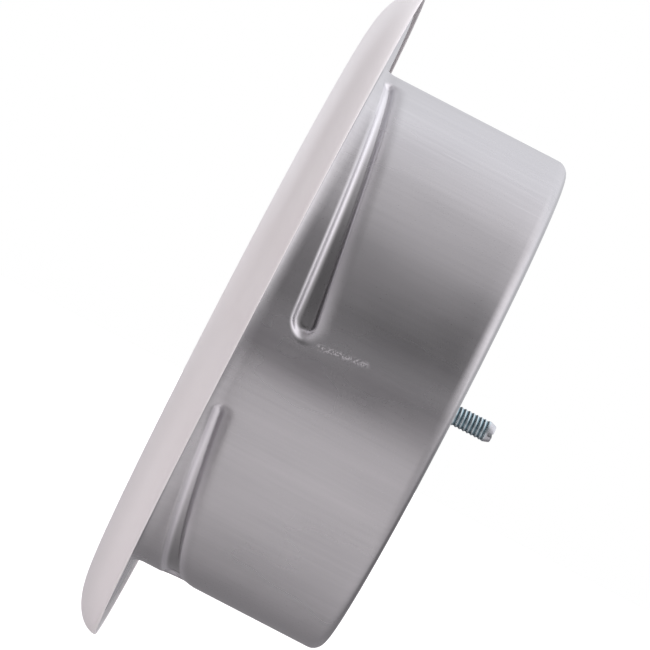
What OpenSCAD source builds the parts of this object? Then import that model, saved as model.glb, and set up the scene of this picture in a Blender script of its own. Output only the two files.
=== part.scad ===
// Disc valve for the end of a round ventilation duct, with its mounting collar.
// The collar goes into the duct. The white valve body screws into the collar's
// four helical grooves, and its disc screws in and out on a threaded spindle.
// The valve's axis lies along Y, its front faces -Y, and the plane of the
// white rim is at Y = 0.

/* [Mounting collar] */
// Outside diameter of the collar, just under the duct's bore
collar_d = 124; // [98:0.5:160]
// Sheet that the collar is drawn from
collar_sheet = 0.7; // [0.5:0.05:1]
// Depth of the collar behind the rim plane
collar_depth = 46.6; // [40:0.1:60]
// Distance from the white rim's edge in to the edge of the collar's flange
flange_inset = 5.5; // [4:0.5:8]
// Step from the rim plane forward to the flange's rear face
collar_flange_step = 0.6; // [0.2:0.1:1.2]
// Fillet between the flange's rear face and the collar's wall
root_fillet = 1.8; // [0.8:0.1:3]
// Outside fillet at the collar's rear edge
rear_fillet = 3; // [1.5:0.1:5]
// Flat width of the lip that turns in at the rear
rear_lip_w = 3.5; // [2:0.1:5]

/* [Bayonet grooves] */
// Number of grooves round the collar
groove_count = 4; // [3:1:5]
// Angle that one groove runs through
groove_turn = 66.4; // [45:0.2:68]
// Angle at which the first groove starts, from the +X side towards -Z
groove_start_angle = -69.6; // [-90:0.2:0]
// Height of a groove's floor behind the rim plane where it starts
groove_start_height = 2.5; // [2.2:0.1:4]
// Rise of a groove along the axis, from its start to its end
groove_rise = 7.8; // [5:0.1:10]
// Depth of a groove at its end
groove_depth = 2.4; // [1.6:0.1:2.8]
// Depth of a groove at its start
groove_start_depth = 1.7; // [1:0.1:2.4]
// Flat width of a groove's floor
groove_floor_w = 1.4; // [0.8:0.1:2]
// Width of the flank on the flange's side, at the groove's end
front_flank_w = 3.3; // [2.5:0.1:4]
// Width of the flank on the rear side, at the groove's end
rear_flank_w = 3.8; // [2.5:0.1:4.5]
// Width of the flank on the flange's side, at the groove's start
start_front_flank_w = 1.5; // [1:0.1:1.6]
// Width of the flank on the rear side, at the groove's start
start_rear_flank_w = 2.9; // [2:0.1:3.5]

/* [Front ring] */
// Outside diameter of the white rim
ring_d = 163; // [160:0.5:180]
// Sheet that the ring is pressed from
ring_sheet = 0.8; // [0.6:0.05:1]
// Height of the ring's crest in front of the rim plane
crest_height = 7.8; // [7:0.1:10]
// Radial width of the round skirt, from the rim to the crest
skirt_w = 13.2; // [11:0.1:14]
// Depth of the bell behind the rim plane, where the straight neck starts
bell_depth = 3; // [2:0.1:4.5]
// Gap between the neck and the collar's ridges
neck_clearance = 1.1; // [1:0.05:1.3]
// Depth of the neck behind the rim plane
neck_depth = 22; // [21:0.1:26]

/* [Bayonet lugs] */
// Radius of the round dimple that makes a lug
lug_r = 4.5; // [4.2:0.1:5]
// Gap between a lug's tip and the collar's wall
lug_tip_gap = 0.4; // [0.3:0.05:0.6]
// Distance from a groove's floor back to the lug's centre
lug_offset = 6.5; // [6.3:0.1:7]
// Angle from a groove's end back to its lug, with the ring screwed home
lug_back_angle = 17; // [12:1:20]

/* [Foam gasket] */
// Distance from the flange's edge in to the gasket's outer edge
gasket_inset = 1.5; // [1:0.5:4]
// Gap round the gasket
gasket_gap = 0.4; // [0.3:0.05:0.6]

/* [Bridge] */
// Width of the strip across the neck
bridge_w = 18; // [14:0.5:24]
// Sheet that the bridge is pressed from
bridge_sheet = 1.2; // [1:0.1:1.6]
// Distance from the neck's rear edge to the bridge's rear face
bridge_set = 2; // [1:0.1:2.5]
// Length of the feet that turn forward against the neck
foot_len = 9; // [8.6:0.1:10]
// Outside radius of the bend between the bridge and its feet
bend_r = 3; // [2:0.1:3.5]
// Angle between the two rivets of one foot
rivet_spread = 10; // [9:0.5:11]
// Radius of a rivet's shank
rivet_r = 1.6; // [1.2:0.1:1.8]
// Radius of a rivet's head
rivet_head_r = 2.6; // [2.2:0.1:2.7]
// Height of a rivet's flat outer head
rivet_flat_h = 0.6; // [0.4:0.05:0.65]
// Height of a rivet's round inner head
rivet_dome_h = 1.1; // [0.8:0.1:1.5]
// Gap round a rivet's shank, and between the feet and the neck
rivet_gap = 0.05; // [0.02:0.01:0.1]

/* [Spindle and nuts] */
// Outside diameter of the spindle's thread
spindle_d = 4.9; // [4:0.1:6]
// Length of the spindle behind the collar's rear edge
spindle_stand = 12.6; // [9:0.1:18]
// Length of the tapered point at the spindle's rear end
point_len = 1.5; // [1:0.1:2]
// Diameter of the spindle's rear end
point_d = 3.9; // [3:0.1:3.9]
// Width of the screwdriver slot
slot_w = 0.8; // [0.6:0.1:1]
// Depth of the screwdriver slot
slot_depth = 1.1; // [0.8:0.1:1.4]
// Radial clearance between the spindle and what it screws through
thread_clearance = 0.05; // [0.02:0.01:0.1]
// Width of a nut across its flats
nut_af = 8; // [7.8:0.1:10]
// Height of the lock nut
nut_h = 4; // [3:0.1:5]
// Height of the thin nut on the disc's hub
thin_nut_h = 2.7; // [2:0.1:3]
// Outside diameter of the lock washer
washer_d = 10; // [9.5:0.1:12]
// Thickness of the lock washer
washer_h = 1; // [0.6:0.1:1.2]
// Radial clearance in the washer's hole
washer_clearance = 0.2; // [0.1:0.05:0.3]
// Radius of the bush's head
bush_head_r = 6; // [5.5:0.1:8]
// Height of the bush's head
bush_head_h = 3.5; // [2.5:0.1:4.5]
// Radius of the bush's shank
bush_shank_r = 4; // [3.6:0.1:4.5]

/* [Valve disc] */
// Gap between the shut disc's edge and the bell
disc_gap = 0.4; // [0.3:0.05:0.8]
// Step from the ring's crest back to the disc's crown
disc_set = 1; // [0.5:0.1:2]
// Sheet that the disc is pressed from
disc_sheet = 0.8; // [0.6:0.05:1]
// Radius of the roll at the disc's edge
disc_roll_r = 3; // [2:0.1:3.5]
// Depth of the dish at the disc's middle
dish_depth = 3.6; // [2:0.1:4.5]
// Radius of the flat at the disc's middle
disc_flat_r = 12; // [11:0.5:16]
// Radius of the hub's flange
hub_flange_r = 9; // [7:0.5:10]
// Thickness of the hub's flange
hub_flange_h = 1; // [0.8:0.1:1.5]
// Radius of the hub's barrel
hub_r = 4.5; // [4.2:0.1:5.5]
// Height of the hub's barrel
hub_h = 7; // [5:0.5:7.5]

/* [Hidden] */
$fn = 96;

// Stations along a groove between its two round ends, and in each round end
GROOVE_STEPS = 11;
END_STEPS = 4;
// Angle that a round end turns through, short of the quarter circle at which it closes
END_TURN = 80;
// Length of the round end at a groove's start, as a share of that at its end
START_ROUND = 0.7;
// Height that the cutting body of a groove reaches above the collar's wall
GROOVE_WING = 0.4;
// Turning points of a flank: shares of its width from the foot, and shares of its depth
FOOT_POINT = [0.28, 0.82];
SHOULDER_POINT = [0.68, 0.2];
// Widening of a ridge's flanks that keeps their wall, as a share of the sheet
FLANK_SHARE = 0.4;
// Points along a quarter of a pressed curve
ARC_STEPS = 12;
// Height of the turned corners of a nut, as a share of their width
NUT_CHAMFER = 0.6;
// Gap between the spindle's front end and the floor of the hub
HUB_END_GAP = 0.3;
// Clear height that a cutting body has beyond what it cuts
OVER = 1;

// Collar
collar_r = collar_d / 2;
collar_in_r = collar_r - collar_sheet;
flange_rear = -collar_flange_step;
flange_front = flange_rear - collar_sheet;
flange_r = ring_d / 2 - flange_inset;
root_centre = [collar_r + root_fillet, flange_rear + root_fillet];
rear_centre = [collar_r - rear_fillet, collar_depth - rear_fillet];
lip_r = rear_centre[0] - rear_lip_w;
groove_pitch_angle = 360 / groove_count;
ridge_r = collar_r - groove_depth - collar_sheet;
seam_angle = groove_start_angle + groove_turn + (groove_pitch_angle - groove_turn) / 2;

// Ring
ring_r = ring_d / 2;
crest_r = ring_r - skirt_w;
neck_out_r = ridge_r - neck_clearance;
neck_in_r = neck_out_r - ring_sheet;
bell_w = crest_r - neck_in_r;
bell_h = crest_height + bell_depth;

// Lugs
lug_tip_r = collar_in_r - lug_tip_gap;
lug_angle = groove_start_angle + groove_turn - lug_back_angle;
lug_height = groove_start_height + groove_rise * (1 - lug_back_angle / groove_turn)
             + lug_offset;

// Gasket
gasket_r = collar_r + root_fillet + gasket_gap;
gasket_w = flange_r - gasket_inset - gasket_r;

// Bridge
bridge_rear = neck_depth - bridge_set;
bridge_front = bridge_rear - bridge_sheet;
foot_r = neck_in_r - rivet_gap;
foot_front = bridge_rear - foot_len;
rivet_z = foot_front + (foot_len - bend_r) / 2;
rivet_seat = sqrt(pow(foot_r - bridge_sheet, 2) - pow(rivet_head_r, 2));

// Spindle
spindle_r = spindle_d / 2;
bore_r = spindle_r + thread_clearance;
spindle_rear = collar_depth + spindle_stand;
washer_rear = bridge_rear + washer_h;
nut_rear = washer_rear + nut_h;

// Disc
crown = -crest_height + disc_set;
disc_edge = crown + disc_roll_r + disc_sheet * 2;
disc_r = bell_air_r(disc_edge) - disc_gap;
disc_crown_r = disc_r - disc_roll_r;
dish_front = crown + dish_depth;
dish_rear = dish_front + disc_sheet;
hub_rear = dish_rear + hub_h;
hub_floor = dish_rear + hub_flange_h;

// Radius of the bell's air side at height z behind the rim plane
function bell_air_r(z) = crest_r - bell_w * sqrt(1 - pow((bell_depth - z) / bell_h, 2));

// Points of an ellipse's arc about centre c, from angle a to angle b
function arc(c, rx, ry, a, b, steps = ARC_STEPS) =
    [for (i = [0:steps]) let (t = a + (b - a) * i / steps) c + [rx * cos(t), ry * sin(t)]];

// Height of the ring's hidden side above radius r, from the bell to the skirt
function ring_underside(r) =
    r < crest_r
        ? bell_depth - (bell_h - ring_sheet) * sqrt(1 - pow((crest_r - r) / (bell_w - ring_sheet), 2))
        : -(crest_height - ring_sheet) * sqrt(1 - pow((r - crest_r) / (skirt_w - ring_sheet), 2));

// Height of the disc's front face at radius r
function dish_z(r) =
    dish_front - dish_depth * pow(max(0, r - disc_flat_r) / (disc_crown_r - disc_flat_r), 2);

// Turns a part drawn along Z so that its axis lies along Y, rear to +Y
module along_duct() {
    rotate([-90, 0, 0]) children();
}

// Places its children once for each groove
module each_groove() {
    for (i = [0:groove_count - 1]) rotate([0, 0, i * groove_pitch_angle]) children();
}

// Places its children at both ends of the bridge
module both_ends() {
    for (a = [0, 180]) rotate([0, 0, a]) children();
}

// Places its children at each rivet's place, pointing outward
module each_rivet() {
    both_ends()
        for (a = [-1, 1])
            rotate([0, 0, a * rivet_spread / 2])
                translate([0, 0, rivet_z])
                    rotate([0, 90, 0]) children();
}

// Revolves a half section, with the seam midway between two grooves
module revolve_between_grooves() {
    rotate([0, 0, seam_angle]) rotate_extrude() children();
}

// A groove's stations: [angle, share of its way, share of its full section]
// The section is whole along the groove and dies away in its two round ends.
function groove_stations(round_w) =
    let (end_angle = round_w / collar_r * 180 / PI, turn = END_TURN / END_STEPS)
    concat(
        [for (i = [END_STEPS:-1:1]) [-end_angle * START_ROUND * sin(turn * i), 0, cos(turn * i)]],
        [for (i = [0:GROOVE_STEPS]) [groove_turn * i / GROOVE_STEPS, i / GROOVE_STEPS, 1]],
        [for (i = [1:END_STEPS]) [groove_turn + end_angle * sin(turn * i), 1, cos(turn * i)]]
    );

function mix(a, b, s) = a + (b - a) * s;

function reversed(list) = [for (i = [len(list) - 1:-1:0]) list[i]];

// One flank of a groove: points [distance from the floor's middle, depth below the wall]
// Its foot is round, its shoulder is soft, and it runs on above the shoulder by wing.
function flank(floor_half, w, d, grow, sink, wing) =
    let (
        foot = floor_half + grow,
        edge = foot + w,
        soft = mix(foot, edge, SHOULDER_POINT[0]),
        slope = (edge - soft) / (d * SHOULDER_POINT[1])
    )
    [
        [foot, sink + d],
        [mix(foot, edge, FOOT_POINT[0]), sink + d * FOOT_POINT[1]],
        [soft, sink + d * SHOULDER_POINT[1]],
        [edge + wing * slope, sink - wing]
    ];

// A groove's outline at share s of its way and share k of its full size, from the
// flange's side to the rear. grow widens it and sink lowers it.
function groove_path(s, k, grow, sink, wing) =
    let (
        floor_half = groove_floor_w / 2 * k,
        d = k * mix(groove_start_depth, groove_depth, s),
        front = flank(floor_half, k * mix(start_front_flank_w, front_flank_w, s), d, grow, sink, wing),
        rear = flank(floor_half, k * mix(start_rear_flank_w, rear_flank_w, s), d, grow, sink, wing)
    )
    concat([for (p = reversed(front)) [-p[0], p[1]]], rear);

// Section of what a groove takes out of the collar's wall
function cut_section(s, k) = groove_path(s, k, 0, 0, GROOVE_WING);

// Section of the ridge that the pressed sheet makes inside, under a groove
function ridge_section(s, k) =
    groove_path(s, k, collar_sheet * FLANK_SHARE, collar_sheet, collar_sheet / 2);

// A solid swept along one groove, where section(s, k) gives its outline and grow is how
// far its round ends reach beyond the groove's own. Its ends close in strips, because
// its outline curves both ways.
module groove_sweep(section, grow) {
    stations = groove_stations(rear_flank_w + groove_floor_w / 2 + grow);
    rings = [for (st = stations)
        let (
            angle = groove_start_angle + st[0],
            height = groove_start_height + groove_rise * st[0] / groove_turn
        )
        [for (p = section(st[1], st[2]))
            let (r = collar_r - p[1]) [r * cos(angle), r * sin(angle), height + p[0]]]];
    m = len(rings[0]);
    n = len(rings);
    sides = [for (i = [0:n - 2], j = [0:m - 1])
        let (a = i * m + j, b = i * m + (j + 1) % m) each [[a, a + m, b], [b, a + m, b + m]]];
    caps = [for (j = [0:m / 2 - 2])
        let (strip = [j, j + 1, m - 2 - j, m - 1 - j])
        each [strip, [for (p = reversed(strip)) (n - 1) * m + p]]];
    polyhedron([for (ring = rings) each ring], concat(sides, caps));
}

// Half section of the collar's outer form, filled to the axis
module collar_outside() {
    start = flange_front - OVER / 2;
    polygon(concat(
        [[0, start], [flange_r, start], [flange_r, flange_rear]],
        arc(root_centre, root_fillet, root_fillet, 270, 180),
        arc(rear_centre, rear_fillet, rear_fillet, 0, 90),
        [[0, collar_depth]]
    ));
}

// Half section of the room inside the collar, from in front of its flange to its lip
module collar_inside() {
    in_root = root_fillet + collar_sheet;
    in_rear = rear_fillet - collar_sheet;
    start = flange_front - OVER;
    polygon(concat(
        [[0, start], [flange_r + OVER, start], [flange_r + OVER, flange_front]],
        arc(root_centre, in_root, in_root, 270, 180),
        arc(rear_centre, in_rear, in_rear, 0, 90),
        [[lip_r, collar_depth - collar_sheet], [lip_r, collar_depth + OVER]],
        [[0, collar_depth + OVER]]
    ));
}

module mounting_collar() {
    color("#a9a8ac")
    along_duct()
    difference() {
        difference() {
            revolve_between_grooves() collar_outside();
            each_groove() groove_sweep(function (s, k) cut_section(s, k), 0);
        }
        difference() {
            revolve_between_grooves() collar_inside();
            each_groove()
                groove_sweep(function (s, k) ridge_section(s, k), collar_sheet * FLANK_SHARE);
        }
    }
}

// Half section of the gasket, which fills the ring's hollow up to its gap
module gasket_section() {
    steps = 8;
    front = [for (i = [0:steps])
        let (r = gasket_r + gasket_w * (1 - i / steps)) [r, ring_underside(r) + gasket_gap]];
    polygon(concat([[gasket_r, flange_front], [gasket_r + gasket_w, flange_front]], front));
}

module foam_gasket() {
    color("#3c3c3e")
    along_duct()
    rotate_extrude() gasket_section();
}

// Half section of the ring: rim, round skirt, crest, bell and straight neck
module ring_section() {
    skirt_c = [crest_r, 0];
    bell_c = [crest_r, bell_depth];
    polygon(concat(
        arc(skirt_c, skirt_w, crest_height, 0, -90),
        [for (p = arc(bell_c, bell_w, bell_h, -90, -180)) if (p[0] < crest_r) p],
        [[neck_in_r, neck_depth], [neck_out_r, neck_depth]],
        arc(bell_c, bell_w - ring_sheet, bell_h - ring_sheet, -180, -90),
        [for (p = arc(skirt_c, skirt_w - ring_sheet, crest_height - ring_sheet, -90, 0))
            if (p[0] > crest_r) p]
    ));
}

// A ball at each lug's place
module lug_balls(r) {
    each_groove()
        rotate([0, 0, lug_angle])
            translate([lug_tip_r - lug_r, 0, lug_height]) sphere(r);
}

module front_ring() {
    color("#e6e4e4")
    along_duct()
    difference() {
        union() {
            rotate_extrude() ring_section();
            difference() {
                lug_balls(lug_r);
                cylinder(r = neck_in_r, h = collar_depth);
            }
        }
        lug_balls(lug_r - ring_sheet);
        each_rivet() cylinder(r = rivet_r + rivet_gap, h = collar_r);
    }
}

// Half section of the cup that the bridge is a slice of
module bridge_section() {
    bend_c = [foot_r - bend_r, bridge_rear - bend_r];
    in_r = bend_r - bridge_sheet;
    polygon(concat(
        [[bush_shank_r + rivet_gap, bridge_front], [bush_shank_r + rivet_gap, bridge_rear]],
        arc(bend_c, bend_r, bend_r, 90, 0),
        [[foot_r, foot_front], [foot_r - bridge_sheet, foot_front]],
        arc(bend_c, in_r, in_r, 0, 90)
    ));
}

module bridge() {
    color("#b4b5b8")
    along_duct()
    difference() {
        intersection() {
            rotate_extrude() bridge_section();
            translate([-neck_out_r, -bridge_w / 2, 0]) cube([neck_out_r * 2, bridge_w, neck_depth]);
        }
        each_rivet() cylinder(r = rivet_r + rivet_gap, h = collar_r);
    }
}

// One rivet on the Z axis: round head inside the foot, flat head outside the neck
module rivet() {
    dome_r = (rivet_head_r * rivet_head_r + rivet_dome_h * rivet_dome_h) / (2 * rivet_dome_h);
    translate([0, 0, rivet_seat - OVER / 2])
        cylinder(r = rivet_r, h = neck_out_r - rivet_seat + OVER);
    translate([0, 0, neck_out_r]) cylinder(r = rivet_head_r, h = rivet_flat_h);
    intersection() {
        translate([0, 0, rivet_seat - rivet_dome_h + dome_r]) sphere(dome_r);
        translate([0, 0, rivet_seat - rivet_dome_h]) cylinder(r = rivet_head_r, h = rivet_dome_h);
    }
}

module bridge_rivets() {
    color("#c0c1c4")
    along_duct()
    each_rivet() rivet();
}

module bridge_bush() {
    color("#9aa3a8")
    along_duct()
    difference() {
        union() {
            translate([0, 0, bridge_front - bush_head_h]) cylinder(r = bush_head_r, h = bush_head_h);
            translate([0, 0, bridge_front]) cylinder(r = bush_shank_r, h = bridge_sheet);
        }
        translate([0, 0, bridge_front - bush_head_h - OVER])
            cylinder(r = bore_r, h = bush_head_h + bridge_sheet + OVER * 2);
    }
}

module lock_washer() {
    color("#9aa3a8")
    along_duct()
    translate([0, 0, bridge_rear])
    difference() {
        cylinder(d = washer_d, h = washer_h);
        translate([0, 0, -OVER]) cylinder(r = spindle_r + washer_clearance, h = washer_h + OVER * 2);
    }
}

// A hexagon nut of height h with its corners turned off, on the Z axis
module hex_nut(h) {
    corner_r = nut_af / 2 / cos(30);
    turned = corner_r - nut_af / 2;
    difference() {
        intersection() {
            cylinder(r = corner_r, h = h, $fn = 6);
            rotate_extrude() polygon([
                [0, 0], [nut_af / 2, 0], [corner_r, turned * NUT_CHAMFER],
                [corner_r, h - turned * NUT_CHAMFER], [nut_af / 2, h], [0, h]
            ]);
        }
        translate([0, 0, -OVER]) cylinder(r = bore_r, h = h + OVER * 2);
    }
}

module lock_nut() {
    color("#9aa3a8")
    along_duct()
    translate([0, 0, washer_rear]) hex_nut(nut_h);
}

module spindle() {
    start = hub_floor + HUB_END_GAP;
    color("#7f9aa3")
    along_duct()
    difference() {
        rotate_extrude() polygon([
            [0, start], [spindle_r, start], [spindle_r, spindle_rear - point_len],
            [point_d / 2, spindle_rear], [0, spindle_rear]
        ]);
        translate([-spindle_d, -slot_w / 2, spindle_rear - slot_depth])
            cube([spindle_d * 2, slot_w, slot_depth + OVER]);
    }
}

// Half section of the disc: flat middle, dish, rolled edge and short skirt
module disc_section() {
    roll_c = [disc_crown_r, crown + disc_roll_r];
    in_r = disc_roll_r - disc_sheet;
    front = [for (i = [0:ARC_STEPS - 1])
        let (r = mix(disc_flat_r, disc_crown_r, i / ARC_STEPS)) [r, dish_z(r)]];
    polygon(concat(
        [[0, dish_front]],
        front,
        arc(roll_c, disc_roll_r, disc_roll_r, -90, 0),
        [[disc_r, disc_edge], [disc_r - disc_sheet, disc_edge]],
        arc(roll_c, in_r, in_r, 0, -90),
        [for (i = [ARC_STEPS - 1:-1:0]) front[i] + [0, disc_sheet]],
        [[0, dish_rear]]
    ));
}

module valve_disc() {
    color("#e6e4e4")
    along_duct()
    rotate_extrude() disc_section();
}

module disc_hub() {
    color("#9aa3a8")
    along_duct()
    difference() {
        union() {
            translate([0, 0, dish_rear]) cylinder(r = hub_flange_r, h = hub_flange_h);
            translate([0, 0, dish_rear]) cylinder(r = hub_r, h = hub_h);
        }
        translate([0, 0, hub_floor]) cylinder(r = bore_r, h = hub_h);
    }
}

module hub_nut() {
    color("#9aa3a8")
    along_duct()
    translate([0, 0, hub_rear]) hex_nut(thin_nut_h);
}

mounting_collar();
foam_gasket();
front_ring();
bridge();
bridge_rivets();
bridge_bush();
lock_washer();
lock_nut();
spindle();
valve_disc();
disc_hub();
hub_nut();
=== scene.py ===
"""Ventilation disc valve: white pressed ring and disc, bare drawn collar and screw spindle."""

import logging
import math
from dataclasses import dataclass, field
from enum import Enum
from typing import Callable, Sequence

import bpy
import numpy as np
from mathutils import Matrix, Vector


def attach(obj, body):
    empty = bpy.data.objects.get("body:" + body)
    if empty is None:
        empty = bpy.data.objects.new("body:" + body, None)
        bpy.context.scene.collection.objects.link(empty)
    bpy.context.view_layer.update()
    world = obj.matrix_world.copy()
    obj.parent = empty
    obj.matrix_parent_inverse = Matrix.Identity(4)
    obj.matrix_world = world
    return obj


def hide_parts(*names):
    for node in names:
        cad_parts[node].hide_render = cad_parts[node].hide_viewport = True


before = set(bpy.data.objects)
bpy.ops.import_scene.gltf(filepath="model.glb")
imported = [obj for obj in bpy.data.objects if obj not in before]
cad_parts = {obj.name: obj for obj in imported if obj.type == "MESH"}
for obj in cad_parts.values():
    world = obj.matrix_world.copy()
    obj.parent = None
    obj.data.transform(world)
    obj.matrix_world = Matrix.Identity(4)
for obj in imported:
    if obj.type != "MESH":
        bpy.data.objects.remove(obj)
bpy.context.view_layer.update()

logging.basicConfig(level=logging.INFO, format="%(message)s")
log = logging.getLogger("disc_valve")

MM = 0.001
Point = tuple[float, float]
Colour = tuple[float, float, float]
Field = Callable[[np.ndarray], np.ndarray]


class Slot(Enum):
    """Material slots of the record."""

    COLLAR = "collar_steel"
    PAINT = "white_paint"
    FOAM = "gasket_foam"
    SHEET = "bridge_steel"
    RIVET = "rivet_steel"
    PLATED = "plated_steel"
    SPINDLE = "spindle_steel"


class Body(Enum):
    """Moving bodies that the pieces ride on."""

    COLLAR = "collar"
    GASKET = "gasket"
    VALVE = "valve_body"
    WASHER = "washer"
    DISC = "disc"


# Sections and shaping


def smooth(t: np.ndarray) -> np.ndarray:
    """Smooth step from 0 to 1."""
    t = np.clip(t, 0.0, 1.0)
    return t * t * (3 - 2 * t)


def arc(centre: Point, rx: float, ry: float, start: float, end: float, steps: int = 12) -> list[Point]:
    """Points of an ellipse's arc.

    Args:
        centre: Centre as (radius, height) in mm.
        rx: Half axis along the radius.
        ry: Half axis along the height.
        start: First angle in degrees.
        end: Last angle in degrees.
        steps: Number of pieces of the arc.

    Returns:
        The points from start to end.
    """
    angles = np.radians(np.linspace(start, end, steps + 1))
    return [(centre[0] + rx * math.cos(a), centre[1] + ry * math.sin(a)) for a in angles]


def line(a: Point, b: Point, steps: int) -> list[Point]:
    """Points between a and b, without the two ends."""
    return [(a[0] + (b[0] - a[0]) * i / steps, a[1] + (b[1] - a[1]) * i / steps) for i in range(1, steps)]


def lone(obj: bpy.types.Object) -> bpy.types.Object:
    """Makes obj the only selected and the active object."""
    bpy.ops.object.select_all(action="DESELECT")
    obj.select_set(True)
    bpy.context.view_layer.objects.active = obj
    return obj


def turned(name: str, section: Sequence[Point], steps: int) -> bpy.types.Object:
    """Spins a half section round the valve's axis into a closed mesh.

    Args:
        name: Name of the new piece.
        section: Closed outline as (radius, height) in mm. Two neighbouring points on the
            axis leave their edge out, so that the piece closes in a pole.
        steps: Number of steps round the axis.

    Returns:
        The new piece, with its place in its mesh.
    """
    bpy.ops.object.select_all(action="DESELECT")
    bpy.ops.mesh.primitive_circle_add(vertices=len(section), radius=MM)
    obj = bpy.context.object
    obj.name = obj.data.name = name
    for vert, (r, y) in zip(obj.data.vertices, section):
        vert.co = (r * MM, y * MM, 0.0)
    bpy.ops.object.mode_set(mode="EDIT")
    bpy.ops.mesh.select_mode(type="EDGE")
    bpy.ops.mesh.select_all(action="DESELECT")
    bpy.ops.object.mode_set(mode="OBJECT")
    on_axis = [e for e in obj.data.edges if all(obj.data.vertices[i].co.x < 1e-7 for i in e.vertices)]
    for edge in on_axis:
        edge.select = True
    bpy.ops.object.mode_set(mode="EDIT")
    if on_axis:
        bpy.ops.mesh.delete(type="EDGE")
    bpy.ops.mesh.select_all(action="SELECT")
    bpy.ops.mesh.spin(steps=steps, angle=math.tau, center=(0, 0, 0), axis=(0, 1, 0), use_auto_merge=True)
    bpy.ops.mesh.select_all(action="SELECT")
    bpy.ops.mesh.remove_doubles(threshold=2e-6)
    bpy.ops.mesh.normals_make_consistent(inside=False)
    bpy.ops.object.mode_set(mode="OBJECT")
    return obj


def pressed(obj: bpy.types.Object, move: Field) -> bpy.types.Object:
    """Moves a mesh's points by a field.

    Args:
        obj: Piece to shape.
        move: Takes the points in mm, one a row, and returns their new places in mm.

    Returns:
        The same piece.
    """
    co = np.empty(len(obj.data.vertices) * 3)
    obj.data.vertices.foreach_get("co", co)
    co = move(co.reshape(-1, 3) / MM) * MM
    obj.data.vertices.foreach_set("co", co.reshape(-1))
    obj.data.update()
    return obj


def smoothed(obj: bpy.types.Object, angle: float = 40.0) -> bpy.types.Object:
    """Shades a piece smooth, apart from edges sharper than angle in degrees."""
    lone(obj)
    bpy.ops.object.shade_smooth_by_angle(angle=math.radians(angle))
    return obj


def finished(obj: bpy.types.Object, body: Body, slot: Slot, material: bpy.types.Material,
             *nodes: str) -> bpy.types.Object:
    """Dresses a piece and ties it to the frame.

    Args:
        obj: The piece.
        body: Moving body that it rides on.
        slot: Material slot of the record; not used.
        material: Its finish.
        *nodes: CAD nodes that it stands for.

    Returns:
        The same piece.
    """
    obj.data.materials.clear()
    obj.data.materials.append(material)
    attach(obj, body.value)
    if nodes:
        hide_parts(*nodes)
    log.info("%s: %d faces on %s", obj.name, len(obj.data.polygons), body.value)
    return obj


def dressed(node: str, material: bpy.types.Material) -> None:
    """Gives a CAD node its finish."""
    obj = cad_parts[node]
    obj.data.materials.clear()
    obj.data.materials.append(material)
    log.info("%s: CAD node with %s", node, material.name)


# Node trees


class Graph:
    """A node tree with short calls to add and join nodes."""

    def __init__(self, tree: bpy.types.NodeTree) -> None:
        """Keeps the tree that nodes are added to."""
        self.tree = tree

    def add(self, kind: str, inputs: dict | None = None, **settings) -> bpy.types.Node:
        """Adds a node.

        Args:
            kind: Node type without its ShaderNode prefix, or a full type name.
            inputs: Socket name or index to a value, or to a socket to join.
            **settings: Properties of the node.

        Returns:
            The node.
        """
        node = self.tree.nodes.new(kind if kind.startswith("NodeGroup") else "ShaderNode" + kind)
        for key, value in settings.items():
            setattr(node, key, value)
        for key, value in (inputs or {}).items():
            self.feed(node, key, value)
        return node

    def feed(self, node: bpy.types.Node, key: str | int, value) -> None:
        """Sets or joins one input of a node."""
        if isinstance(value, bpy.types.NodeSocket):
            self.tree.links.new(value, node.inputs[key])
        else:
            node.inputs[key].default_value = value

    def maths(self, operation: str, a, b=0.0, c=0.0) -> bpy.types.NodeSocket:
        """Result of a maths node."""
        return self.add("Math", {0: a, 1: b, 2: c}, operation=operation).outputs[0]

    def noise(self, vector, scale: float, detail: float = 2.0, rough: float = 0.5) -> bpy.types.NodeSocket:
        """Value of a noise texture."""
        inputs = {"Vector": vector, "Scale": scale, "Detail": detail, "Roughness": rough}
        return self.add("TexNoise", inputs).outputs["Fac"]

    def ramp(self, value, low: float, high: float, to_low: float = 0.0, to_high: float = 1.0):
        """Value mapped smoothly from low..high to to_low..to_high."""
        inputs = {0: value, 1: low, 2: high, 3: to_low, 4: to_high}
        return self.add("MapRange", inputs, interpolation_type="SMOOTHSTEP").outputs[0]

    def blend(self, share, a, b) -> bpy.types.NodeSocket:
        """Colour between a and b."""
        return self.add("Mix", {0: share, 6: a, 7: b}, data_type="RGBA").outputs[2]

    def group(self, tree: bpy.types.NodeTree, inputs: dict) -> bpy.types.Node:
        """Adds a shared effect."""
        node = self.tree.nodes.new("ShaderNodeGroup")
        node.node_tree = tree
        for key, value in inputs.items():
            self.feed(node, key, value)
        return node


class Effect:
    """A shader node group with named inputs and outputs, built once."""

    def __init__(self, name: str, inputs: dict[str, float], outputs: Sequence[str]) -> None:
        """Makes the group's tree and sockets."""
        self.tree = bpy.data.node_groups.new(name, "ShaderNodeTree")
        for key, value in inputs.items():
            socket = self.tree.interface.new_socket(key, in_out="INPUT", socket_type="NodeSocketFloat")
            socket.default_value = value
        for key in outputs:
            self.tree.interface.new_socket(key, in_out="OUTPUT", socket_type="NodeSocketFloat")
        self.graph = Graph(self.tree)
        self.given = self.tree.nodes.new("NodeGroupInput").outputs
        self.result = self.tree.nodes.new("NodeGroupOutput")
        self.place = self.graph.add("TexCoord").outputs["Object"]

    def stretched(self, scale: Sequence[float], turn: Sequence[float] = (0, 0, 0)) -> bpy.types.NodeSocket:
        """Object coordinates turned and then scaled."""
        inputs = {"Vector": self.place, "Scale": scale, "Rotation": turn}
        return self.graph.add("Mapping", inputs).outputs[0]


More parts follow.
